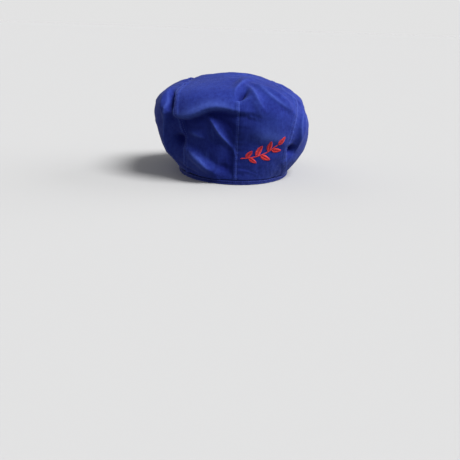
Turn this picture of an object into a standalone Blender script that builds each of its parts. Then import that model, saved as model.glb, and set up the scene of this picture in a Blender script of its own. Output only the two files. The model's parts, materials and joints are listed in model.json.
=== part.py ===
"""A soft cloth hunting cap: a top crown with a dart up its back, two side crowns, a hem band and a peak.

Metres, +Z up. The cap rests on its hem at z = 0, the peak points to -Y and the back to +Y.
The wearer's left is +X. The pieces are shaped about the middle of the hem, and then moved so that the
origin is the middle of the cap's length and width, on the surface that the cap rests on.

The crown is one smooth form, described on a round chart. A place on the chart has a turn, in degrees
from the middle of the back towards the wearer's left, and a rise, from 0 at the crown's lower edge
to TOP_RISE at the top. Rings give the form, folds are laid on it, and the seams divide it in panels.
"""

import math

import bmesh
import bpy
import numpy as np
from mathutils import Matrix

# The opening, and the band that edges it
HEM_WIDTH = 0.160
HEM_LENGTH = 0.200
BAND_HEIGHT = 0.0060
BAND_THICKNESS = 0.0026
HEM_LIFT = 0.012
LIFT_FROM_DEG = 100.0

# The crown
CROWN_WIDTH = 0.226
CROWN_HEIGHT = 0.143
BACK_REACH = 0.113
FRONT_REACH = 0.144
CLOTH = 0.0018
EDGE_DROP = 0.006

# The peak
PEAK_REACH = 0.164
PEAK_SIDE = 0.003
PEAK_THICKNESS = 0.0030
PEAK_ARCH = 0.007
PEAK_ARCH_FROM_DEG = 118.0
PEAK_CORNER_DEG = 112.0
PEAK_BLUNTNESS = 0.045
PEAK_SHOWN = 0.026

# The seams, and the clearance between pieces
GAP = 0.0003
SEAM_DIP = 0.0010
SEAM_SPREAD = 0.004
DART_DIP = 0.0013
DART_RISE = 4.05

# How finely the cloth is divided
TOP_ACROSS = 24
ALONG_SEAM = 44
SIDE_UP = 15
BAND_STEPS = 60
PEAK_STEPS = 32
PEAK_ROWS = 5
PATH_STEPS = 16
MERGE = 0.000001
SHARP_FROM_DEG = 50.0

# The crown's rings above its lower edge. Reaches are shares of half CROWN_WIDTH, BACK_REACH and
# FRONT_REACH, and heights are shares of CROWN_HEIGHT. The corners are how much further the ring
# reaches halfway between back and side, and between front and side.
RING_COLUMNS = (
    "left", "right", "back", "front", "up_left", "up_right", "up_back", "up_front",
    "back_corner", "front_corner")
RINGS = (
    (0.852, 0.864, 0.915, 0.990, 0.186, 0.210, 0.200, 0.155, 0.04, 0.04),
    (0.978, 0.944, 0.945, 0.910, 0.396, 0.410, 0.425, 0.290, 0.06, 0.04),
    (1.034, 0.900, 1.000, 0.765, 0.620, 0.622, 0.680, 0.490, 0.07, 0.05),
    (0.912, 0.780, 0.862, 0.565, 0.806, 0.808, 0.858, 0.715, 0.07, 0.05),
    (0.560, 0.490, 0.460, 0.320, 0.920, 0.910, 0.958, 0.900, 0.03, 0.02),
)
TOP_RISE = len(RINGS) + 1

# The stations of the top crown, from the hem at the back to its edge over the peak. Its two seams are
# given by their turns and rises, and the middle of each station by its place on the chart, from 1 at
# the back to -1 at the front.
STATION_COLUMNS = ("left_turn", "left_rise", "right_turn", "right_rise", "middle")
STATIONS = (
    (58.0, 0.00, -58.0, 0.00, 1.00),
    (46.0, 0.95, -43.5, 0.95, 0.86),
    (40.0, 1.70, -38.5, 1.70, 0.74),
    (40.0, 2.40, -41.0, 2.40, 0.62),
    (42.0, 3.00, -46.0, 3.03, 0.51),
    (45.0, 3.55, -50.5, 3.52, 0.40),
    (50.0, 4.05, -52.0, 4.02, 0.28),
    (59.0, 4.60, -56.5, 4.58, 0.14),
    (105.0, 4.85, -98.0, 4.95, -0.02),
    (136.0, 4.20, -136.0, 4.20, -0.20),
    (147.0, 3.30, -147.0, 3.30, -0.40),
    (147.0, 2.30, -147.0, 2.30, -0.60),
    (143.0, 1.15, -143.0, 1.15, -0.80),
    (137.0, 0.00, -137.0, 0.00, -1.00),
)

# Folds of the cloth: ridges stand out and hollows go in. Each runs on the chart from one turn and rise
# to another, and fades out at both. Width and height are shares of CROWN_HEIGHT.
FOLD_END = 0.06
FOLD_FULLNESS = 0.7
FOLD_COLUMNS = ("turn_a", "rise_a", "turn_b", "rise_b", "width", "height")
FOLDS = {
    "overhang_left": (42.0, 3.18, 15.0, 3.45, 0.065, 0.052),
    "hollow_under_overhang": (42.0, 2.62, -10.0, 3.00, 0.060, -0.045),
    "slanting_ridge": (21.0, 2.92, 7.0, 1.82, 0.042, 0.042),
    "low_ridge_left": (38.0, 1.50, 19.0, 0.42, 0.060, 0.042),
    "hollow_left_of_seam": (44.0, 2.20, 42.0, 1.60, 0.060, -0.055),
    "side_crease_left": (62.0, 4.10, 50.0, 2.60, 0.045, 0.042),
    "low_side_crease_left": (53.0, 2.35, 56.0, 1.10, 0.045, 0.030),
    "valley_left": (53.0, 3.95, 45.0, 3.05, 0.036, -0.050),
    "crease_beside_pinch": (-6.0, 4.45, -16.0, 3.25, 0.040, 0.020),
    "long_crease_right": (-14.0, 4.55, -43.0, 3.10, 0.045, 0.028),
    "crease_over_pinch": (4.0, 4.20, -24.0, 5.20, 0.045, 0.022),
    "pinch": (2.0, 3.82, -5.0, 3.96, 0.036, -0.045),
    "side_crease_right": (-58.0, 3.20, -48.0, 1.70, 0.045, 0.034),
    "hollow_right_of_seam": (-44.0, 1.85, -42.0, 1.35, 0.050, -0.042),
    "notch_right": (-60.0, 3.75, -56.0, 3.35, 0.045, -0.030),
}

CLOTH_BLUE = (0.035, 0.048, 0.230, 1.0)
BAND_BLUE = (0.028, 0.038, 0.190, 1.0)
CLOTH_ROUGHNESS = 0.9


def columns_of(table, names):
    """The table's columns by name."""
    return dict(zip(names, np.array(table, float).T))


def smooth(x):
    """0 to 1 with level ends."""
    x = np.clip(x, 0.0, 1.0)
    return x * x * (3.0 - 2.0 * x)


def hermite(a, b, slope_a, slope_b, f):
    """From a at f = 0 to b at f = 1, with those slopes."""
    to_b = f * f * (3 - 2 * f)
    return a + (b - a) * to_b + slope_a * f * (1 - f) ** 2 - slope_b * f * f * (1 - f)


def through(values, at):
    """A smooth curve through values at 0, 1, 2 and so on, read at the places given."""
    values = np.asarray(values, float)
    slopes = np.gradient(values)
    k = np.clip(np.asarray(at).astype(int), 0, len(values) - 2)
    return hermite(values[k], values[k + 1], slopes[k], slopes[k + 1], at - k)


def from_back(turn):
    """Degrees from the middle of the back, whichever way round."""
    return np.abs(np.mod(np.asarray(turn, float) + 180.0, 360.0) - 180.0)


def towards_front(turn, from_deg):
    """0 up to that many degrees from the middle of the back, rising to 1 at the middle of the front."""
    return smooth((from_back(turn) - from_deg) / (180.0 - from_deg))


def hem_lift(turn):
    """How far the hem is off the surface: the peak holds the front of it up."""
    return HEM_LIFT * towards_front(turn, LIFT_FROM_DEG)


def peak_top(turn, share):
    """Points of the peak's upper face, at a share of the way from its root to its rim."""
    angle = np.radians(turn)
    root = [HEM_WIDTH / 2 + GAP, HEM_LENGTH / 2 + GAP, hem_lift(turn) + PEAK_THICKNESS]
    arch = PEAK_ARCH * towards_front(turn, PEAK_ARCH_FROM_DEG)
    past_corner = np.clip((from_back(turn) - PEAK_CORNER_DEG) / (180.0 - PEAK_CORNER_DEG), 0.0, 1.0)
    fuller = 1.0 + PEAK_BLUNTNESS * np.sin(np.pi * past_corner) ** 2
    rim = [(HEM_WIDTH / 2 + PEAK_SIDE) * fuller, PEAK_REACH * fuller, arch + PEAK_THICKNESS]
    across, lengthways, up = (a + (b - a) * share for a, b in zip(root, rim))
    return np.stack([across * np.sin(angle), lengthways * np.cos(angle), up], axis=-1)


def lower_edge(turn):
    """The crown's lower edge: on the hem band at the back and sides, and on the peak at the front."""
    covered = PEAK_REACH - PEAK_SHOWN - HEM_LENGTH / 2
    forward = covered * np.sqrt(towards_front(turn, PEAK_CORNER_DEG))
    edge = peak_top(turn, forward / (PEAK_REACH - HEM_LENGTH / 2))
    on_band = hem_lift(turn) + BAND_HEIGHT
    off_band = smooth((forward - CLOTH - GAP) / EDGE_DROP)
    edge[..., 2] = on_band + (edge[..., 2] - on_band) * off_band + GAP
    return edge


def ring(k, turn):
    """Points of the crown's ring k at the turns given: 0 is its lower edge, TOP_RISE its top."""
    if k == 0:
        return lower_edge(turn)
    if k == TOP_RISE:
        return np.zeros(np.shape(turn) + (3,)) + (0.0, 0.0, CROWN_HEIGHT)
    row = dict(zip(RING_COLUMNS, RINGS[k - 1]))
    side, along = np.sin(np.radians(turn)), np.cos(np.radians(turn))
    across = CROWN_WIDTH / 2 * np.where(side > 0, row["left"], row["right"])
    lengthways = np.where(along > 0, row["back"] * BACK_REACH, row["front"] * FRONT_REACH)
    fuller = np.where(along > 0, row["back_corner"], row["front_corner"])
    corner = 1.0 + fuller * (2 * side * along) ** 2
    up_side = np.where(side > 0, row["up_left"], row["up_right"])
    up_end = np.where(along > 0, row["up_back"], row["up_front"])
    up = up_side * side**2 + up_end * along**2
    return np.stack(
        [across * side * corner, lengthways * along * corner, CROWN_HEIGHT * up], axis=-1)


def chart_of(turn, rise):
    """The place on the round chart, x to the left and y to the back, with its edge at 1."""
    out = 1.0 - np.asarray(rise, float) / TOP_RISE
    angle = np.radians(turn)
    return np.stack([out * np.sin(angle), out * np.cos(angle)], axis=-1)


def bare_form(chart):
    """The crown's form without folds, at places of the chart."""
    turn = np.degrees(np.arctan2(chart[..., 0], chart[..., 1]))
    rise = (1.0 - np.hypot(chart[..., 0], chart[..., 1])) * TOP_RISE
    rings = np.stack([ring(k, turn) for k in range(TOP_RISE + 1)])
    beyond_top = ring(TOP_RISE - 1, turn + 180.0)
    slopes = np.gradient(rings, axis=0)
    slopes[-1] = (beyond_top - rings[-2]) / 2
    k = np.clip(rise.astype(int), 0, TOP_RISE - 1)
    at, after = k[None, ..., None], k[None, ..., None] + 1
    return hermite(
        np.take_along_axis(rings, at, 0)[0],
        np.take_along_axis(rings, after, 0)[0],
        np.take_along_axis(slopes, at, 0)[0],
        np.take_along_axis(slopes, after, 0)[0],
        (rise - k)[..., None],
    )


def normal_of(form, chart, step=0.003):
    """The outward normal of a form at places of the chart."""
    to_left, to_back = np.array([step, 0.0]), np.array([0.0, step])
    across = form(chart + to_left) - form(chart - to_left)
    along = form(chart + to_back) - form(chart - to_back)
    normal = np.cross(across, along)
    return normal / np.linalg.norm(normal, axis=-1, keepdims=True)


def distance_to(path, points):
    """Distance of each point to a path, and how far along the path, 0 to 1, the nearest place is."""
    near = np.full(points.shape[:-1], np.inf)
    along = np.zeros(points.shape[:-1])
    for i, (a, b) in enumerate(zip(path[:-1], path[1:])):
        step = b - a
        f = np.clip(((points - a) @ step) / (step @ step), 0.0, 1.0)
        away = np.linalg.norm(points - a - f[..., None] * step, axis=-1)
        closer = away < near
        near = np.where(closer, away, near)
        along = np.where(closer, (i + f) / (len(path) - 1), along)
    return near, along


def seam_on_chart(side, at):
    """The left or the right seam on the chart, at places counted in stations."""
    stations = columns_of(STATIONS, STATION_COLUMNS)
    places = chart_of(stations[side + "_turn"], stations[side + "_rise"])
    return np.stack([through(places[:, 0], at), through(places[:, 1], at)], axis=-1)


def fold_path(fold):
    """The points of the bare form that a fold runs through."""
    ends = chart_of(
        np.array([fold["turn_a"], fold["turn_b"]]), np.array([fold["rise_a"], fold["rise_b"]]))
    share = np.linspace(0, 1, PATH_STEPS)[:, None]
    return bare_form(ends[0] + (ends[1] - ends[0]) * share)


def reliefs():
    """What is laid on the bare form: path, width, height, and whether it fades at its ends."""
    made = []
    for row in FOLDS.values():
        fold = dict(zip(FOLD_COLUMNS, row))
        made.append(
            (fold_path(fold), fold["width"] * CROWN_HEIGHT, fold["height"] * CROWN_HEIGHT, True))
    for side in ("left", "right"):
        seam = seam_on_chart(side, np.linspace(0, len(STATIONS) - 1, 4 * PATH_STEPS))
        made.append((bare_form(seam), SEAM_SPREAD, -SEAM_DIP, False))
    dart = chart_of(np.zeros(PATH_STEPS), np.linspace(0.0, DART_RISE, PATH_STEPS))
    made.append((bare_form(dart), SEAM_SPREAD, -DART_DIP, False))
    return made


RELIEFS = reliefs()


def crown_form(chart):
    """The crown's outer face, with its folds, its seams and the dart at the back."""
    points = bare_form(chart)
    out = np.zeros(points.shape[:-1])
    for path, width, height, fades in RELIEFS:
        away, along = distance_to(path, points)
        fade = np.sin(np.pi * np.clip(along, FOLD_END, 1 - FOLD_END)) ** FOLD_FULLNESS if fades else 1.0
        out += height * np.exp(-((away / width) ** 2)) * fade
    return points + normal_of(bare_form, chart) * out[..., None]


def material(name, colour, roughness):
    """A plain cloth material."""
    made = bpy.data.materials.new(name)
    made.use_nodes = True
    shader = made.node_tree.nodes["Principled BSDF"]
    shader.inputs["Base Color"].default_value = colour
    shader.inputs["Roughness"].default_value = roughness
    made.diffuse_color = colour
    return made


def finished(name, mesh, finish):
    """The object of a finished mesh, with its material, in the cap's collection."""
    bmesh.ops.recalc_face_normals(mesh, faces=mesh.faces)
    data = bpy.data.meshes.new(name)
    mesh.to_mesh(data)
    mesh.free()
    data.materials.append(finish)
    data.shade_smooth()
    data.set_sharp_from_angle(angle=math.radians(SHARP_FROM_DEG))
    piece = bpy.data.objects.new(name, data)
    bpy.data.collections["hunting_cap"].objects.link(piece)
    return piece


def cloth_panel(name, chart, seam_edges, finish):
    """A panel of the crown over a grid of chart places, with Solidify for the thickness of its cloth.

    seam_edges gives the columns of the grid that lie on a seam, each with the column next to it, and
    the panel stops half a gap short of the seam there.
    """
    points = crown_form(chart)
    for edge, inside in seam_edges:
        along = np.gradient(points[:, edge], axis=0)
        inwards = points[:, inside] - points[:, edge]
        normal = normal_of(bare_form, chart[:, edge])
        off = np.cross(along, normal)
        off /= np.linalg.norm(off, axis=-1, keepdims=True)
        middle = len(off) // 2
        off *= np.sign((off[middle] * inwards[middle]).sum()) * GAP / 2
        points[:, edge] += off
        for tip in (0, -1):
            same = np.linalg.norm(chart[tip] - chart[tip, edge], axis=-1) < MERGE
            same[edge] = False
            points[tip, same] += off[tip]
    rows, columns = chart.shape[:2]
    mesh = bmesh.new()
    bmesh.ops.create_grid(mesh, x_segments=columns - 1, y_segments=rows - 1, size=1.0)
    for vertex in mesh.verts:
        i = round((vertex.co.y + 1) / 2 * (rows - 1))
        j = round((vertex.co.x + 1) / 2 * (columns - 1))
        vertex.co = points[i, j]
    bmesh.ops.remove_doubles(mesh, verts=mesh.verts, dist=MERGE)
    panel = finished(name, mesh, finish)
    middle = panel.data.polygons[len(panel.data.polygons) // 2]
    if middle.normal.dot(middle.center) < 0:
        panel.data.flip_normals()
    wall = panel.modifiers.new("cloth", "SOLIDIFY")
    wall.thickness = CLOTH
    wall.offset = -1.0
    return panel


def top_crown(finish):
    """The one long panel from the back of the hem, over the top, to the peak."""
    at = np.linspace(0, len(STATIONS) - 1, ALONG_SEAM + 1)
    across = np.linspace(-1, 1, TOP_ACROSS + 1)
    left, right = seam_on_chart("left", at), seam_on_chart("right", at)
    seam = np.where(across[:, None] > 0, left[:, None], right[:, None])
    middle = through(columns_of(STATIONS, STATION_COLUMNS)["middle"], at)[:, None]
    back_arc, front_arc = STATIONS[0][0], 180.0 - STATIONS[-1][0]
    arc = np.radians(np.linspace(back_arc, front_arc, ALONG_SEAM + 1))[:, None]
    x = seam[..., 0] * np.abs(np.sin(across * arc)) / np.sin(arc)
    fall = (1 - np.cos(across * arc)) / (1 - np.cos(arc))
    y = middle + (seam[..., 1] - middle) * fall
    return cloth_panel("top_crown", np.stack([x, y], axis=-1), ((0, 1), (-1, -2)), finish)


def side_crown(side, finish):
    """The panel between the left or the right seam and the crown's lower edge."""
    share = np.linspace(0, 1, ALONG_SEAM + 1)
    seam = seam_on_chart(side, share * (len(STATIONS) - 1))
    first, last = (row[STATION_COLUMNS.index(side + "_turn")] for row in (STATIONS[0], STATIONS[-1]))
    edge = chart_of(first + (last - first) * share, 0.0 * share)
    up = np.linspace(0, 1, SIDE_UP + 1)[None, :, None]
    chart = edge[:, None] + (seam - edge)[:, None] * up
    return cloth_panel("side_crown_" + side, chart, ((-1, -2),), finish)


def hem_band(finish):
    """The folded band round the opening, sewn to the crown's lower edge."""
    mesh = bmesh.new()
    bmesh.ops.create_cone(
        mesh, segments=BAND_STEPS, radius1=1.0, radius2=1.0, depth=BAND_HEIGHT, cap_ends=False)
    for vertex in mesh.verts:
        turn = math.degrees(math.atan2(vertex.co.x, vertex.co.y))
        vertex.co.x *= HEM_WIDTH / 2
        vertex.co.y *= HEM_LENGTH / 2
        vertex.co.z += BAND_HEIGHT / 2 + float(hem_lift(turn))
    band = finished("hem_band", mesh, finish)
    wall = band.modifiers.new("folded_cloth", "SOLIDIFY")
    wall.thickness = BAND_THICKNESS
    wall.offset = -1.0
    return band


def peak(finish):
    """The stiff peak under the crown's front, from the hem band to its rim."""
    mesh = bmesh.new()
    bmesh.ops.create_grid(mesh, x_segments=PEAK_STEPS, y_segments=PEAK_ROWS, size=1.0)
    for vertex in mesh.verts:
        turn = 180.0 - vertex.co.x * (180.0 - PEAK_CORNER_DEG)
        vertex.co = peak_top(turn, (vertex.co.y + 1) / 2)
    under = bmesh.ops.extrude_face_region(mesh, geom=mesh.faces[:])["geom"]
    moved = [item for item in under if isinstance(item, bmesh.types.BMVert)]
    bmesh.ops.translate(mesh, vec=(0, 0, -PEAK_THICKNESS), verts=moved)
    return finished("peak", mesh, finish)


def centre(pieces):
    """Moves the pieces so that the origin is the middle of their length and width."""
    places = np.array([vertex.co for piece in pieces for vertex in piece.data.vertices])
    middle = (places.min(axis=0) + places.max(axis=0)) / 2
    for piece in pieces:
        piece.data.transform(Matrix.Translation((-middle[0], -middle[1], 0.0)))


def main():
    for obj in list(bpy.data.objects):
        bpy.data.objects.remove(obj)
    bpy.context.scene.collection.children.link(bpy.data.collections.new("hunting_cap"))
    crown_cloth = material("crown_cloth", CLOTH_BLUE, CLOTH_ROUGHNESS)
    band_cloth = material("band_cloth", BAND_BLUE, CLOTH_ROUGHNESS)
    peak_cloth = material("peak_cloth", CLOTH_BLUE, CLOTH_ROUGHNESS)
    centre([
        top_crown(crown_cloth),
        side_crown("left", crown_cloth),
        side_crown("right", crown_cloth),
        hem_band(band_cloth),
        peak(peak_cloth),
    ])


main()
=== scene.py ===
"""The looks of a soft cloth hunting cap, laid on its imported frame.

Metres, +Z up. The cap rests on its hem, the peak points to -Y and the back to +Y, and +X is the
wearer's left.
"""

import json
import math

import bmesh
import bpy
import numpy as np
from mathutils import Matrix, Vector, noise
from mathutils.bvhtree import BVHTree

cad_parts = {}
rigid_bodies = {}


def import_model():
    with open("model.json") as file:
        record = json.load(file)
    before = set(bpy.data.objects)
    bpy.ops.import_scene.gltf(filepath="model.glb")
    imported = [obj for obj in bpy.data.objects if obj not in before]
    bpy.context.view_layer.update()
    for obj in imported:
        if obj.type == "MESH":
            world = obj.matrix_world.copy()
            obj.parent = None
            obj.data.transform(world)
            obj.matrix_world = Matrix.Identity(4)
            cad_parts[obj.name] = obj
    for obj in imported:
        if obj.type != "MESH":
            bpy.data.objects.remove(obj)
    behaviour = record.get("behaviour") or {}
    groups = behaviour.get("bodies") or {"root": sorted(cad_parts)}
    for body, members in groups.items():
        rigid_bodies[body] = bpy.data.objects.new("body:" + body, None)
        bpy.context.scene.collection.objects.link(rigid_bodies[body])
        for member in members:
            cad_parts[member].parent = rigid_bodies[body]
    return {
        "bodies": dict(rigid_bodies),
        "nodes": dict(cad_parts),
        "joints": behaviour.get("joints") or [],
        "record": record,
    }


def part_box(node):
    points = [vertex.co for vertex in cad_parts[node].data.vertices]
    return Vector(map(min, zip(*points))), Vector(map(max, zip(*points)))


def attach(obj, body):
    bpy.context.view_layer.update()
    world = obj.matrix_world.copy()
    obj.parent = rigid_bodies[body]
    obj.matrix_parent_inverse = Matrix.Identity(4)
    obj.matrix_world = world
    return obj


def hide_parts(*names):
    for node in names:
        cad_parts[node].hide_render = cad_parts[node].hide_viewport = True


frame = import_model()
bpy.ops.object.select_all(action="DESELECT")
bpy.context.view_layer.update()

# The top crown
# One long panel of royal blue cotton twill. It rises from the back of the hem, turns over the top and
# runs forward to the peak, and a dart takes it in up the middle of the back. Both its long edges are
# turned under and sewn to the side crowns, with the seams lying towards it under two rows of stitches.
hem_low, hem_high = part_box("hem_band")
peak_low, peak_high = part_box("peak")
hem_middle = np.array([(hem_low.x + hem_high.x) / 2, (hem_low.y + hem_high.y) / 2, 0.0])
hem_reach = np.array([hem_high.x - hem_low.x, hem_high.y - hem_low.y]) / 2
BAND_HEIGHT = 0.0060
hem_rise = hem_high.z - BAND_HEIGHT
LIFT_FROM_DEG = 100.0
CROWN_WIDTH = 0.226
CROWN_HEIGHT = 0.143
BACK_REACH = 0.113
FRONT_REACH = 0.144
peak_reach = hem_middle[1] - peak_low.y
PEAK_SIDE = 0.003
PEAK_THICKNESS = 0.0030
PEAK_ARCH = 0.007
PEAK_ARCH_FROM_DEG = 118.0
PEAK_CORNER_DEG = 112.0
PEAK_BLUNTNESS = 0.045
PEAK_SHOWN = 0.026
GAP = 0.0003
EDGE_DROP = 0.006

# The crown's rings above its lower edge. Reaches are shares of half CROWN_WIDTH, BACK_REACH and
# FRONT_REACH, and heights are shares of CROWN_HEIGHT. The corners are how much further the ring
# reaches halfway between back and side, and between front and side.
RING_COLUMNS = (
    "left", "right", "back", "front", "up_left", "up_right", "up_back", "up_front",
    "back_corner", "front_corner")
RINGS = (
    (0.852, 0.864, 0.915, 0.990, 0.186, 0.210, 0.200, 0.155, 0.04, 0.04),
    (0.978, 0.944, 0.945, 0.910, 0.396, 0.410, 0.425, 0.290, 0.06, 0.04),
    (1.034, 0.900, 1.000, 0.765, 0.620, 0.622, 0.680, 0.490, 0.07, 0.05),
    (0.912, 0.780, 0.862, 0.565, 0.806, 0.808, 0.858, 0.715, 0.07, 0.05),
    (0.560, 0.490, 0.460, 0.320, 0.920, 0.910, 0.958, 0.900, 0.03, 0.02),
)
TOP_RISE = len(RINGS) + 1

# The stations of the top crown, from the hem at the back to its edge over the peak. Its two seams are
# given by their turns, in degrees from the middle of the back towards the left, and by their rises,
# from 0 at the lower edge to TOP_RISE at the top. The middle is a place on the round chart of the
# crown, from 1 at the back to -1 at the front.
STATION_COLUMNS = ("left_turn", "left_rise", "right_turn", "right_rise", "middle")
STATIONS = (
    (58.0, 0.00, -58.0, 0.00, 1.00),
    (46.0, 0.95, -43.5, 0.95, 0.86),
    (40.0, 1.70, -38.5, 1.70, 0.74),
    (40.0, 2.40, -41.0, 2.40, 0.62),
    (42.0, 3.00, -46.0, 3.03, 0.51),
    (45.0, 3.55, -50.5, 3.52, 0.40),
    (50.0, 4.05, -52.0, 4.02, 0.28),
    (59.0, 4.60, -56.5, 4.58, 0.14),
    (105.0, 4.85, -98.0, 4.95, -0.02),
    (136.0, 4.20, -136.0, 4.20, -0.20),
    (147.0, 3.30, -147.0, 3.30, -0.40),
    (147.0, 2.30, -147.0, 2.30, -0.60),
    (143.0, 1.15, -143.0, 1.15, -0.80),
    (137.0, 0.00, -137.0, 0.00, -1.00),
)

# The main folds, each from one turn and rise to another: width and height are shares of CROWN_HEIGHT.
FOLD_END = 0.06
FOLD_FULLNESS = 0.7
FOLDS = {
    "slanting_ridge": (21, 2.92, 7, 1.82, 0.036, 0.026),
    "low_ridge_left": (38, 1.50, 19, 0.42, 0.060, 0.048),
    "hollow_left_of_seam": (44, 2.20, 42, 1.60, 0.060, -0.055),
    "side_crease_left": (62, 4.10, 50, 2.60, 0.045, 0.042),
    "low_side_crease_left": (53, 2.35, 56, 1.10, 0.045, 0.030),
    "valley_left": (53, 3.95, 45, 3.05, 0.036, -0.050),
    "crease_beside_pinch": (-6, 4.45, -16, 3.25, 0.040, 0.020),
    "long_crease_right": (-14, 4.55, -43, 3.10, 0.045, 0.028),
    "crease_over_pinch": (4, 4.20, -24, 5.20, 0.045, 0.022),
    "pinch": (2, 3.64, -5, 4.05, 0.032, -0.026),
    "side_crease_right": (-58, 3.20, -48, 1.70, 0.045, 0.034),
    "hollow_right_of_seam": (-44, 1.85, -42, 1.35, 0.050, -0.042),
    "notch_right": (-60, 3.75, -56, 3.35, 0.045, -0.030),
}

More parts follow.
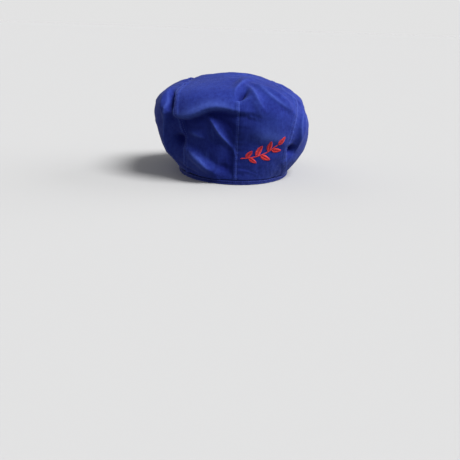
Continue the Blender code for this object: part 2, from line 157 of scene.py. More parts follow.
# Finer creases on the main folds. Each runs through a few places, given by turn and rise, and has a
# height, a width on its left and on its right as it runs, and the radius of its crest, in millimetres.
CREASES = {
    "edge_of_overhang": (((47, 3.06), (39, 2.90), (33, 2.88), (26, 3.01), (19, 3.20), (11, 3.22),
        (4, 3.13), (-4, 3.08)), 7.4, 14, 2.4, 2),
    "deep_under_overhang": (((45, 2.86), (38, 2.71), (32, 2.69), (26, 2.82), (19, 3.02),
        (11, 3.04), (4, 2.95), (-5, 2.90)), -7.4, 2, 12, 2),
    "hollow_left_of_dart": (((14, 2.60), (9, 2.20), (5, 1.60), (9, 0.80)), -5.8, 8, 7, 6),
    "slant": (((20.5, 2.88), (16, 2.60), (12, 2.26), (6, 1.84), (3, 1.58)), 5.2, 1.5, 3.8, 0.5),
    "short_upright": (((18.5, 2.50), (17, 2.26), (16, 1.98)), 1.3, 2, 3, 0.6),
    "small_level": (((36, 2.28), (29, 2.17), (22, 2.05)), 2.4, 4, 2.2, 0.7),
    "small_hollow": (((34, 2.40), (28, 2.36), (22, 2.40)), -1.8, 3, 4, 1),
    "low_left": (((39, 1.60), (34, 1.52), (28, 1.26), (24, 0.90), (20, 0.46)), 5, 2.2, 11, 0.8),
    "beside_low_left": (((33, 1.60), (25, 1.26), (15, 0.86)), -2.6, 8, 4.5, 2),
    "outer_left": (((64, 4.20), (53, 3.75), (49.5, 3.30), (50, 2.76), (54.5, 2.25), (56, 1.70),
        (56, 0.90)), 4.2, 2, 2.8, 0.5),
    "valley_beside_seam": (((54, 4.02), (48.5, 3.72), (46, 3.40), (45, 3.00)), -5.8, 1.9, 2.4, 0.6),
    "step_left": (((48.5, 2.72), (44, 2.68), (41, 2.64)), -2.2, 2.2, 3.4, 0.8),
    "dent_left": (((48, 1.84), (43, 1.94), (38.5, 1.92)), -3.4, 5, 5, 2),
    "shoulder_left": (((67, 4.10), (59, 4.36), (51, 4.70)), 1.6, 4, 3, 0.8),
    "second_right": (((-61, 3.34), (-52, 2.94), (-48.5, 2.50), (-48, 2.00),
        (-48.5, 1.50)), 3, 2.6, 2.2, 0.5),
    "third_right": (((-67, 3.00), (-57, 2.66), (-53, 2.20)), 2.6, 3, 2.6, 0.6),
    "dent_right": (((-38, 1.70), (-42.5, 1.58), (-47.5, 1.48)), -5.6, 4.2, 4.6, 1.8),
    "pinch_dent": (((3, 3.58), (-0.5, 3.70), (-3, 3.90), (-6.5, 4.16)), -7.6, 1.1, 3.4, 0.4),
    "over_pinch": (((3.4, 3.56), (3.6, 3.90), (1.6, 4.22), (-4, 4.52), (-16, 4.92)), 2.6, 3.4, 1.2, 0.5),
    "drag_a": (((-8, 4.40), (-12, 3.88), (-15, 3.48), (-19, 3.12)), 2.6, 1.8, 4.4, 0.5),
    "drag_b": (((-15, 4.62), (-21, 4.14), (-27, 3.72), (-35, 3.38), (-43, 3.10)), 3, 6, 2.4, 0.6),
    "drag_c": (((-6, 3.80), (-12, 3.40), (-17, 2.80)), 1, 2.4, 4, 0.6),
    "right_shelf": (((-3, 3.02), (-16, 2.84), (-30, 2.72)), -1.4, 5, 8, 3),
    "left_of_dart": (((5, 1.95), (2.6, 1.62), (1.8, 1.20)), 1.2, 2, 2.6, 0.6),
    "upright_a": (((22, 1.66), (23, 1.42), (24.5, 1.14)), 1.3, 2.2, 3, 0.6),
    "upright_b": (((9, 1.36), (8, 0.95), (8.5, 0.55)), 1.2, 2.6, 3, 0.6),
    "over_hem_left": (((62, 0.78), (54, 0.42), (46, 0.22), (36, 0.16)), -4.2, 3, 4, 1.2),
    "beside_right_seam": (((-42, 4.46), (-47.5, 3.97), (-50.5, 3.58)), 1.4, 2.6, 2.2, 0.6),
    "left_side_forward": (((72, 4.30), (84, 3.30), (97, 2.10), (104, 1.00)), 3, 7, 13, 3),
    "left_side_hollow": (((84, 3.90), (98, 2.90), (111, 1.80)), -2.6, 10, 8, 4),
    "left_side_level": (((68, 1.30), (84, 1.05), (103, 1.30)), 2.2, 4, 7, 1.4),
    "left_side_short": (((112, 3.50), (119, 2.50), (121, 1.40)), 1.8, 4, 6, 1.2),
    "right_side_forward": (((-70, 3.90), (-80, 3.00), (-96, 1.90), (-108, 1.20)), 2.8, 12, 6, 3),
    "right_side_hollow": (((-86, 4.00), (-98, 3.20), (-106, 2.20)), -2.4, 9, 9, 4),
    "right_side_level": (((-72, 1.00), (-88, 0.80), (-106, 0.70)), 2, 6, 4, 1.4),
    "front_level": (((146, 1.30), (163, 0.95), (-178, 0.90), (-160, 1.15)), 3, 8, 5, 1.6),
    "front_level_hollow": (((150, 1.75), (170, 1.45), (-172, 1.50)), -2, 7, 10, 3),
    "front_slant_left": (((146, 3.30), (157, 2.60), (172, 2.10)), 2.2, 5, 8, 1.4),
    "front_slant_right": (((-145, 2.90), (-156, 2.30), (-170, 2.00)), 2, 7, 4.5, 1.4),
    "top_long": (((70, 5.20), (105, 5.30), (150, 4.80)), 1.2, 7, 7, 2),
    "top_right": (((-80, 5.00), (-112, 4.50), (-140, 3.70)), 1.4, 8, 5, 1.6),
    "pinch_lip": (((6, 3.48), (-0.5, 3.56), (-5, 3.66), (-11, 3.80)), 2.6, 0.9, 3.6, 0.5),
    "dark_left": (((38, 2.76), (36, 2.50), (36.5, 2.22), (41, 1.88)), -4.4, 8, 5, 2),
    "left_outline_dent": (((80, 3.30), (87, 3.00), (92, 2.75), (97, 2.45)), -6, 10, 9, 3),
    "right_outline_dent": (((-73, 3.56), (-77, 3.28), (-81, 2.98), (-83, 2.70)), -7.4, 8, 9, 3),
    "top_left_dent": (((62, 4.65), (78, 4.85), (96, 5.10)), -4.8, 8, 11, 4),
    "top_right_dent": (((-50, 4.70), (-66, 4.95), (-84, 5.15)), -4.2, 12, 12, 4),
    "hollow_by_dart": (((15, 2.84), (9, 2.62), (4, 2.40), (1, 2.05)), -4, 6, 6, 2),
    "right_bulge": (((-6, 2.30), (-18, 2.20), (-30, 2.16), (-39, 2.30)), 3.4, 16, 12, 8),
    "low_dark": (((17, 0.86), (9, 0.74), (2, 0.76)), -5.2, 13, 6, 4),
}

# How worn the cloth is goes from 1, faded, to 0; below that, down to -1 in a hollow, the cloth is darkened
# as painted shade.
MM = 0.001
CREASE_WEAR_HEIGHT = 0.003
SHADE_HOLLOW_DEPTH = 0.009
WEAR_WIDTH = 0.0009
SEAM_WEAR = 0.8
WELT_WEAR = 0.5
DART_WEAR = 0.7
DART_WEAR_WIDTH = 0.0010
DART_WELT_WEAR = 0.25
SEAM_ROLL = 0.0006
WELT = 0.0007
WELT_WIDTH = 0.0068
WELT_FALL = 0.0012
STITCH_ROWS = (0.0018, 0.0055)
STITCH_DIP = 0.00030
STITCH_DIP_WIDTH = 0.00045
DART_RISE = 3.72
DART_WELT = 0.0046
DART_ROWS = (0.0011, 0.0036)
DART_END = 0.006
EDGE_ROLL = 0.0012
PUCKER = 0.00028
PUCKER_LENGTH = 0.0085
PUCKER_REACH = 0.0060
PUCKER_SHIFT = 1.7
PUCKER_SHIFT_LENGTH = 0.019
HEM_PUCKER = 0.00096
HEM_PUCKER_LENGTHS = (0.012, 0.05)
HEM_PUCKER_REACH = 0.013
SEAM_NEAR = 0.08
DART_NEAR = 0.05
EDGE_NEAR = 0.06
UNEVEN = ((0.00080, 0.034, 11.0), (0.00030, 0.0100, 47.0), (0.00008, 0.0034, 83.0))
CLOTH = 0.0012
FINEST = 0.00028
COARSEST = 0.0018
GROWTH = 0.13
PANEL_GAP = 0.0001
DOUBLED = 0.000001
NORMAL_STEP = 0.003
DART_PLACES = 90
EDGE_PLACES = 361
FOLD_PLACES = 17
PLACES_PER_TURN = 8
FOLD_NEAR = 4
CREASE_NEAR = 7


def smooth(x):
    """0 to 1 with level ends."""
    x = np.clip(x, 0.0, 1.0)
    return x * x * (3.0 - 2.0 * x)


def hermite(a, b, slope_a, slope_b, f):
    """From a at f = 0 to b at f = 1, with those slopes."""
    to_b = f * f * (3 - 2 * f)
    return a + (b - a) * to_b + slope_a * f * (1 - f) ** 2 - slope_b * f * f * (1 - f)


def through(values, at):
    """A smooth curve through values at 0, 1, 2 and so on, read at the places given."""
    values = np.asarray(values, float)
    slopes = np.gradient(values, axis=0)
    k = np.clip(np.asarray(at).astype(int), 0, len(values) - 2)
    f = (np.asarray(at) - k).reshape(np.shape(at) + (1,) * (values.ndim - 1))
    return hermite(values[k], values[k + 1], slopes[k], slopes[k + 1], f)


def share_to_front(turn, from_deg):
    """The share of the way from that many degrees off the middle of the back to the middle of the front."""
    away = np.abs(np.mod(np.asarray(turn, float) + 180.0, 360.0) - 180.0)
    return np.clip((away - from_deg) / (180.0 - from_deg), 0.0, 1.0)


def towards_front(turn, from_deg):
    """The same share, with level ends."""
    return smooth(share_to_front(turn, from_deg))


def hem_lift(turn):
    """How far the hem is off the surface: the peak holds the front of it up."""
    return hem_rise * towards_front(turn, LIFT_FROM_DEG)


def peak_top(turn, share):
    """Points of the peak's upper face, at a share of the way from its root to its rim."""
    angle = np.radians(turn)
    past_corner = share_to_front(turn, PEAK_CORNER_DEG)
    fuller = 1.0 + PEAK_BLUNTNESS * np.sin(np.pi * past_corner) ** 2
    arch = PEAK_ARCH * towards_front(turn, PEAK_ARCH_FROM_DEG)
    root = [hem_reach[0] + GAP, hem_reach[1] + GAP, hem_lift(turn) + PEAK_THICKNESS]
    rim = [(hem_reach[0] + PEAK_SIDE) * fuller, peak_reach * fuller, arch + PEAK_THICKNESS]
    across, lengthways, up = (a + (b - a) * share for a, b in zip(root, rim))
    return np.stack([across * np.sin(angle), lengthways * np.cos(angle), up], axis=-1)


def lower_edge(turn):
    """The crown's lower edge: on the hem band at the back and sides, and on the peak at the front."""
    forward = (peak_reach - PEAK_SHOWN - hem_reach[1]) * np.sqrt(towards_front(turn, PEAK_CORNER_DEG))
    edge = peak_top(turn, forward / (peak_reach - hem_reach[1]))
    on_band = hem_lift(turn) + BAND_HEIGHT
    off_band = smooth((forward - CLOTH - GAP) / EDGE_DROP)
    edge[..., 2] = on_band + (edge[..., 2] - on_band) * off_band + GAP
    return edge


def ring(k, turn):
    """Points of the crown's ring k at the turns given: 0 is its lower edge, TOP_RISE its top."""
    if k == 0:
        return lower_edge(turn)
    if k == TOP_RISE:
        return np.zeros(np.shape(turn) + (3,)) + (0.0, 0.0, CROWN_HEIGHT)
    row = dict(zip(RING_COLUMNS, RINGS[k - 1]))
    side, along = np.sin(np.radians(turn)), np.cos(np.radians(turn))
    across = CROWN_WIDTH / 2 * np.where(side > 0, row["left"], row["right"])
    lengthways = np.where(along > 0, row["back"] * BACK_REACH, row["front"] * FRONT_REACH)
    fuller = np.where(along > 0, row["back_corner"], row["front_corner"])
    corner = 1.0 + fuller * (2 * side * along) ** 2
    up_side = np.where(side > 0, row["up_left"], row["up_right"])
    up_end = np.where(along > 0, row["up_back"], row["up_front"])
    up = up_side * side**2 + up_end * along**2
    return np.stack([across * side * corner, lengthways * along * corner, CROWN_HEIGHT * up], axis=-1)


def chart_of(turn, rise):
    """The place on the crown's round chart, x to the left and y to the back, with its edge at 1."""
    out = 1.0 - np.asarray(rise, float) / TOP_RISE
    angle = np.radians(turn)
    return np.stack([out * np.sin(angle), out * np.cos(angle)], axis=-1)


def bare_form(chart):
    """The crown's form without folds, at places of the chart, about the middle of the hem."""
    turn = np.degrees(np.arctan2(chart[..., 0], chart[..., 1]))
    rise = (1.0 - np.hypot(chart[..., 0], chart[..., 1])) * TOP_RISE
    rings = np.stack([ring(k, turn) for k in range(TOP_RISE + 1)])
    beyond_top = ring(TOP_RISE - 1, turn + 180.0)
    slopes = np.gradient(rings, axis=0)
    slopes[-1] = (beyond_top - rings[-2]) / 2
    k = np.clip(rise.astype(int), 0, TOP_RISE - 1)
    at, after = k[None, ..., None], k[None, ..., None] + 1
    return hermite(
        np.take_along_axis(rings, at, 0)[0],
        np.take_along_axis(rings, after, 0)[0],
        np.take_along_axis(slopes, at, 0)[0],
        np.take_along_axis(slopes, after, 0)[0],
        (rise - k)[..., None],
    )


def normal_of(chart):
    """The outward normal of the bare form at places of the chart."""
    to_left, to_back = np.array([NORMAL_STEP, 0.0]), np.array([0.0, NORMAL_STEP])
    across = bare_form(chart + to_left) - bare_form(chart - to_left)
    along = bare_form(chart + to_back) - bare_form(chart - to_back)
    normal = np.cross(across, along)
    return normal / np.linalg.norm(normal, axis=-1, keepdims=True)


def lengths_along(points, axis=0):
    """The distance travelled from the first point, along a line or the rows or columns of a grid."""
    steps = np.linalg.norm(np.diff(points, axis=axis), axis=-1)
    start = np.zeros_like(np.take(steps, [0], axis=axis))
    return np.concatenate([start, np.cumsum(steps, axis=axis)], axis=axis)


class Path:
    """A line on the crown, through places of the chart."""

    def __init__(self, chart):
        self.chart = chart
        self.points = bare_form(chart)
        self.at = lengths_along(self.points)

    def nearest(self, points, chart, reach):
        """Distance, length along the line and side (1 left, -1 right) for points within reach of it."""
        away = np.full(len(points), np.inf)
        along = np.zeros(len(points))
        side = np.ones(len(points))
        low, high = self.points.min(axis=0) - reach, self.points.max(axis=0) + reach
        near = np.nonzero(((points > low) & (points < high)).all(axis=1))[0]
        for i in range(len(self.points) - 1):
            a, b = self.points[i], self.points[i + 1]
            step = b - a
            long = max(step @ step, 1e-12)
            from_a = points[near] - a
            f = np.clip(from_a @ step / long, 0.0, 1.0)
            gap = np.linalg.norm(from_a - f[:, None] * step, axis=1)
            closer = gap < away[near]
            hit = near[closer]
            away[hit] = gap[closer]
            along[hit] = self.at[i] + f[closer] * math.sqrt(long)
            flat_step = self.chart[i + 1] - self.chart[i]
            flat = chart[hit] - self.chart[i]
            side[hit] = np.where(flat_step[0] * flat[:, 1] > flat_step[1] * flat[:, 0], 1.0, -1.0)
        return away, along, side


def path_through(places, count):
    """A smooth line through places given by turn and rise."""
    turns, rises = np.array(places, float).T
    return Path(through(chart_of(turns, rises), np.linspace(0, len(places) - 1, count)))


def seam_chart(side, at):
    """The left or right seam on the chart, at places counted in stations."""
    table = dict(zip(STATION_COLUMNS, np.array(STATIONS, float).T))
    return through(chart_of(table[side + "_turn"], table[side + "_rise"]), at)


def spread(length, finest=FINEST, coarsest=COARSEST):
    """Shares of a length, close together at both its ends and wide apart between them."""
    places = [0.0]
    while places[-1] < length / 2:
        places.append(places[-1] + min(coarsest, finest + GROWTH * places[-1]))
    half = np.array(places) / (2 * places[-1])
    return np.concatenate([half, 1 - half[-2::-1]])


SEAM_PLACES = 260
seam_at = np.linspace(0, len(STATIONS) - 1, SEAM_PLACES)
SEAMS = {side: Path(seam_chart(side, seam_at)) for side in ("left", "right")}
DART = Path(chart_of(np.zeros(DART_PLACES), np.linspace(0.0, DART_RISE, DART_PLACES)))
EDGE = Path(chart_of(np.linspace(-180, 180, EDGE_PLACES), np.zeros(EDGE_PLACES)))
FOLD_PATHS = {
    name: path_through((row[:2], row[2:4]), FOLD_PLACES) for name, row in FOLDS.items()}
CREASE_PATHS = {
    name: path_through(places, PLACES_PER_TURN * len(places)) for name, (places, *_) in CREASES.items()}


def ridge(away, width, crest):
    """1 on the line of a crease, falling to 0 beside it, with a crest of that radius."""
    return np.exp(-(np.sqrt(away**2 + crest**2) - crest) / width)


def faded(along, path):
    """Less towards both ends of a path."""
    share = np.clip(along / path.at[-1], FOLD_END, 1 - FOLD_END)
    return np.sin(np.pi * share) ** FOLD_FULLNESS


def beside(away, distance, width):
    """1 at a distance from a line, falling to 0 on both sides of that distance."""
    return np.exp(-(((away - distance) / width) ** 2))


def rolled(away, radius):
    """How far an edge that is turned under goes in."""
    inside = np.clip(1.0 - away / radius, 0.0, 1.0)
    return radius * (1.0 - np.sqrt(1.0 - inside**2 * 0.98))


def stitch_dips(away, rows):
    """How far rows of stitches pull the cloth in beside a seam."""
    return STITCH_DIP * sum(beside(away, row, STITCH_DIP_WIDTH) for row in rows)


def puckers(away, along, start=0.0):
    """Small waves across a seam, where its thread has drawn the cloth up."""
    shift = PUCKER_SHIFT * np.sin(along / PUCKER_SHIFT_LENGTH + start)
    wave = np.sin(2 * np.pi * along / PUCKER_LENGTH + shift)
    return PUCKER * wave * np.exp(-away / PUCKER_REACH)


def field(places, apart):
    """A smooth random field, from about -1 to 1, at places counted in its own cells."""
    return np.array([noise.noise(Vector((x + apart, y, z))) for x, y, z in places])


def creased(flat, points):
    """How far folds and creases stand out at places of the chart and points of the bare form, and wear and
    painted shade.

    Ridges are faded as wear, and hollows are darkened as painted shade."""
    out = np.zeros(len(flat))
    wear_and_shade = np.zeros(len(flat))
    for name, row in FOLDS.items():
        width, height = row[4] * CROWN_HEIGHT, row[5] * CROWN_HEIGHT
        away, along, _ = FOLD_PATHS[name].nearest(points, flat, FOLD_NEAR * width)
        out += height * np.exp(-((away / width) ** 2)) * faded(along, FOLD_PATHS[name])
    for name, (_, *sizes) in CREASES.items():
        height, left, right, crest = (size * MM for size in sizes)
        path = CREASE_PATHS[name]
        away, along, side = path.nearest(points, flat, CREASE_NEAR * max(left, right))
        line = ridge(away, np.where(side > 0, left, right), crest) * faded(along, path)
        out += height * line
        wear_and_shade += np.clip(height, 0, None) / CREASE_WEAR_HEIGHT * line**3
    # Painted shade: the deeper a hollow, the darker the cloth is painted there.
    return out, wear_and_shade - np.clip(-out / SHADE_HOLLOW_DEPTH, 0, 1)


def sewn(flat, points, panel):
    """How far seams, stitches and the weave's own unevenness stand out, and wear along the seams."""
    out = np.zeros(len(flat))
    wear_and_shade = np.zeros(len(flat))
    for side, start in (("left", 0.0), ("right", 2.0)):
        away, along, _ = SEAMS[side].nearest(points, flat, SEAM_NEAR)
        raised = WELT if panel == "top" else 0.0
        out += raised * smooth((WELT_WIDTH + WELT_FALL - away) / WELT_FALL)
        if panel == "top":
            out -= stitch_dips(away, STITCH_ROWS)
            wear_and_shade += WELT_WEAR * beside(away, WELT_WIDTH, WEAR_WIDTH)
        out += puckers(away, along, start) - rolled(away, SEAM_ROLL)
        wear_and_shade += SEAM_WEAR * beside(away, SEAM_ROLL, WEAR_WIDTH)
    if panel == "top":
        away, along, _ = DART.nearest(points, flat, DART_NEAR)
        ending = smooth((DART.at[-1] - along) / DART_END)
        on_left = np.where(flat[:, 0] > 0, ending, 0.0)
        welt = smooth((DART_WELT + WELT_FALL - away) / WELT_FALL) * on_left
        out += WELT * welt
        out -= stitch_dips(away, DART_ROWS) * on_left + rolled(away, SEAM_ROLL) * ending
        out += puckers(away, along, 4.0) * ending
        wear_and_shade += DART_WELT_WEAR * welt + DART_WEAR * beside(away, SEAM_ROLL, DART_WEAR_WIDTH) * on_left
    away, along, _ = EDGE.nearest(points, flat, EDGE_NEAR)
    wave = field(np.stack([along / length for length in HEM_PUCKER_LENGTHS] + [0 * along], axis=-1), 17.0)
    out += HEM_PUCKER * wave * np.exp(-away / HEM_PUCKER_REACH) - rolled(away, EDGE_ROLL)
    for size, length, apart in UNEVEN:
        out += size * field(points / length, apart)
    return out, wear_and_shade


def quads(rows, columns):
    """The faces of a grid, by the places of their corners in it."""
    index = np.arange(rows * columns).reshape(rows, columns)
    faces = np.stack([index[:-1, :-1], index[:-1, 1:], index[1:, 1:], index[1:, :-1]], axis=-1)
    return faces.reshape(-1, 4)


def evened(values, faces):
    """Values at the points of a mesh, averaged again and again with those of their neighbours."""
    edges = np.array([pair for face in faces for pair in zip(face, face[1:] + face[:1])])
    shares = 1.0 / np.maximum(np.bincount(edges[:, 0], minlength=len(values)), 1)
    for _ in range(SAG_EVENINGS):
        sums = [np.bincount(edges[:, 0], values[edges[:, 1], i], len(values)) for i in range(3)]
        values = (values + np.stack(sums, axis=-1) * shares[:, None]) / 2
    return values


def sagged(top, left, right):
    """How far a cloth simulation moves the points of the three panels' grids, which it sews together."""
    left, right = left[:, ::-1].copy(), right.copy()
    left[:, 0], right[:, -1] = top[:, -1], top[:, 0]
    left[[0, -1]], right[[0, -1]] = left[[0, -1], :1], right[[0, -1], -1:]
    grids = (top, left, right)
    points = np.concatenate([grid.reshape(-1, 3) for grid in grids])
    starts = np.cumsum([0] + [len(grid) * grid.shape[1] for grid in grids])
    _, first, place = np.unique(points.round(6), axis=0, return_index=True, return_inverse=True)
    place = place.ravel()
    faces = np.concatenate([place[a + quads(*grid.shape[:2])] for a, grid in zip(starts, grids)])
    faces = [once for once in (list(dict.fromkeys(face)) for face in faces.tolist()) if len(once) > 2]
    on_seam = np.zeros(len(first), bool)
    on_seam[place[starts[1] + np.arange(len(left)) * left.shape[1]]] = True
    on_seam[place[starts[2] + np.arange(1, len(right) + 1) * right.shape[1] - 1]] = True
    mesh = bpy.data.meshes.new("sagging")
    mesh.from_pydata((points[first] * SAG_SCALE).tolist(), [], faces)
    body = bpy.data.objects.new("sagging", mesh)
    bpy.context.scene.collection.objects.link(body)
    held = body.vertex_groups.new(name="held")
    fixed = 1.0 - np.clip((points[first][:, 2] - SAG_FIXED) / SAG_FADE, 0.0, 1.0)
    hold = np.maximum(fixed, np.where(on_seam, SAG_SEAM_HOLD, SAG_HOLD))
    for i, weight in enumerate(hold.tolist()):
        held.add([i], weight, "REPLACE")
    cloth = body.modifiers.new("cloth", "CLOTH")
    cloth.collision_settings.use_collision = False
    cloth.settings.vertex_group_mass = "held"
    cloth.settings.effector_weights.gravity = SAG_GRAVITY
    for name, value in SAG_SETTINGS.items():
        setattr(cloth.settings, name, value)
    cloth.point_cache.frame_end = SAG_FRAMES
    for frame in range(1, SAG_FRAMES + 1):
        bpy.context.scene.frame_set(frame)
    settled = body.evaluated_get(bpy.context.evaluated_depsgraph_get()).data
    moved = np.empty(len(first) * 3)
    settled.vertices.foreach_get("co", moved)
    bpy.context.scene.frame_set(1)
    bpy.data.meshes.remove(mesh)
    moved = moved.reshape(-1, 3) / SAG_SCALE - points[first]
    moved -= evened(moved, faces)
    far = np.linalg.norm(moved, axis=1, keepdims=True)
    moved = (moved * np.minimum(1.0, SAG_MOST / np.maximum(far, 1e-9)))[place]
    towards_back = smooth((np.concatenate([grid[..., 1].ravel() for grid in grids]) - SAG_FREE) / SAG_STILL)
    moved *= (1 - (1 - SAG_AT_BACK) * towards_back)[:, None]
    top, left, right = (moved[a:b].reshape(grid.shape) for a, b, grid in zip(starts, starts[1:], grids))
    return {"top": top, "left": left[:, ::-1], "right": right}


def crown_form(chart, panel=None):
    """The outer face of the cloth about the middle of the hem, and its wear and painted shade; without a
    panel, before sewing.
    """
    flat = chart.reshape(-1, 2)
    points = bare_form(flat)
    out, wear_and_shade = creased(flat, points)
    if panel:
        more, more_worn = sewn(flat, points, panel)
        out, wear_and_shade = out + more, wear_and_shade + more_worn
    shape = chart.shape[:-1]
    formed = bare_form(chart) + normal_of(chart) * out.reshape(shape)[..., None]
    return formed, np.clip(wear_and_shade, -1, 1).reshape(shape)


def grid_mesh(name, points, wear_and_shade, uv):
    """A mesh over a grid of points, with its wear and painted shade as an attribute and the cloth's own
    measure as its UV map.
    """
    mesh = bpy.data.meshes.new(name)
    mesh.from_pydata((points + hem_middle).reshape(-1, 3).tolist(), [], quads(*points.shape[:2]).tolist())
    mesh.attributes.new("wear_and_shade", "FLOAT", "POINT").data.foreach_set("value", wear_and_shade.ravel().astype(np.float32))
    corner = np.empty(len(mesh.loops), int)
    mesh.loops.foreach_get("vertex_index", corner)
    layer = mesh.uv_layers.new(name="cloth")
    layer.data.foreach_set("uv", uv.reshape(-1, 2)[corner].ravel().astype(np.float32))
    return mesh


def weld(mesh, turn_outwards=False):
    """Joins the doubled points of a mesh, and turns its faces outwards if asked."""
    whole = bmesh.new()
    whole.from_mesh(mesh)
    bmesh.ops.remove_doubles(whole, verts=whole.verts, dist=DOUBLED)
    if turn_outwards:
        bmesh.ops.recalc_face_normals(whole, faces=whole.faces)
    whole.to_mesh(mesh)
    whole.free()


def new_piece(name, mesh, finish, wall=0.0, offset=0.0):
    """A piece of the cap with that mesh and material, which a wall makes as thick as its cloth."""
    piece = bpy.data.objects.new(name, mesh)
    bpy.context.scene.collection.objects.link(piece)
    mesh.materials.append(finish)
    if wall:
        solid = piece.modifiers.new("wall", "SOLIDIFY")
        solid.thickness = wall
        solid.offset = offset
    mesh.shade_smooth()
    return piece


def crown_panel(name, chart, panel, seam_edges, along_axis, sag):
    """One panel of the crown as a closed sheet of cloth over a grid of places on the chart."""
    points, wear_and_shade = crown_form(chart, panel)
    points += sag
    for edge, inside in seam_edges:
        along = np.gradient(bare_form(chart[:, edge]), axis=0)
        off = np.cross(along, normal_of(chart[:, edge]))
        off /= np.linalg.norm(off, axis=-1, keepdims=True)
        middle = len(off) // 2
        inwards = points[middle, inside] - points[middle, edge]
        points[:, edge] += off * np.sign(off[middle] @ inwards) * PANEL_GAP / 2
    across = lengths_along(points, 1)
    across -= across[:, across.shape[1] // 2][:, None]
    along = lengths_along(points, 0)[:, points.shape[1] // 2][:, None] + 0 * across
    uv = np.stack([across, along], axis=-1)
    mesh = grid_mesh(name, points, wear_and_shade, uv if along_axis == 0 else uv[..., ::-1])
    weld(mesh)
    middle = mesh.polygons[len(mesh.polygons) // 2]
    if middle.normal.dot(middle.center - Vector(hem_middle) - Vector((0, 0, CROWN_HEIGHT / 3))) < 0:
        mesh.flip_normals()
    return new_piece(name, mesh, crown_twill, CLOTH, -1.0), points + hem_middle


class Wire:
    """One socket of a material's nodes. Arithmetic on it adds Math nodes."""

    def __init__(self, tree, socket=None):
        self.tree = tree
        self.socket = socket

    def node(self, kind, settings, sockets, out=0):
        """Adds a node with its settings and the values or wires of its sockets, and gives an output."""
        made = self.tree.nodes.new("ShaderNode" + kind)
        for name, value in settings.items():
            setattr(made, name, value)
        for name, value in sockets.items():
            if isinstance(value, Wire):
                self.tree.links.new(value.socket, made.inputs[name])
            else:
                made.inputs[name].default_value = value
        return Wire(self.tree, made.outputs[out])

    def other(self, out):
        """Another output of the node that this socket is on."""
        return Wire(self.tree, self.socket.node.outputs[out])

    def maths(self, operation, *values):
        return self.node("Math", {"operation": operation}, dict(enumerate(values)))

    def waves(self):
        """From 0 to 1 and back, once for every full turn that this makes."""
        return self.maths("SINE", self) * 0.5 + 0.5

    def clamped(self):
        return self.node("Clamp", {}, {0: self})

    def noise(self, scale, detail, roughness=0.5):
        """Noise from 0 to 1 at these places."""
        sockets = {"Vector": self, "Scale": scale, "Detail": detail, "Roughness": roughness}
        return self.node("TexNoise", {}, sockets)

    def relief(self, shader):
        """Raises the surface by this height."""
        bump = self.node("Bump", {}, {"Strength": 1.0, "Distance": 1.0, "Height": self})
        bump.feed(shader, "Normal")

    def mixed(self, low, high):
        """From one colour to another as this goes from 0 to 1."""
        return self.node("Mix", {"data_type": "RGBA"}, {0: self, 6: low, 7: high}, out=2)

    def feed(self, shader, name):
        self.tree.links.new(self.socket, shader.inputs[name])

    def __add__(self, other):
        return self.maths("ADD", self, other)

    def __sub__(self, other):
        return self.maths("SUBTRACT", self, other)

    def __rsub__(self, other):
        return self.maths("SUBTRACT", other, self)

    def __mul__(self, other):
        return self.maths("MULTIPLY", self, other)

    __radd__ = __add__


DYE = (0.023, 0.047, 0.300, 1.0)
# The dark end of the cloth's uneven dye, and also the colour of the painted shade in the crown's hollows.
DEEP_DYE_AND_HOLLOW_SHADE = (0.002, 0.005, 0.130, 1.0)
FADED_DYE = (0.058, 0.102, 0.450, 1.0)
TWILL_RIB = 0.00095
TWILL_SLANT_DEG = 62.0
YARN = 0.00042
TWILL_RELIEF = 0.00009
FUZZ_RELIEF = 0.00006
SLUB_RELIEF = 0.00005
FUZZ_SCALE = 1700.0
SLUB_SCALE = 330.0
MOTTLE_SCALE = 240.0
CLOUD_SCALE = 26.0
SLUB_ACROSS = 2.6
SLUB_ALONG = 0.16
CLOUD_TONE = 0.7
SLUB_TONE = 0.5
FUZZ_TONE = 0.5
RIB_TONE = 0.16
PLAIN_TONE = 0.42
YARN_DIP = 0.35
CLOTH_ROUGHNESS = 0.82
FUZZ_ROUGHNESS = 0.16
FADED_EVENLY = 0.35
FADED_BY_MOTTLE = 0.9
FADED_MOST = 0.75
HOLLOW_SHADE_MOST = 0.9


def new_finish(name):
    """A new material, the start of its wires and its shader."""
    made = bpy.data.materials.new(name)
    made.use_nodes = True
    return made, Wire(made.node_tree), made.node_tree.nodes["Principled BSDF"]


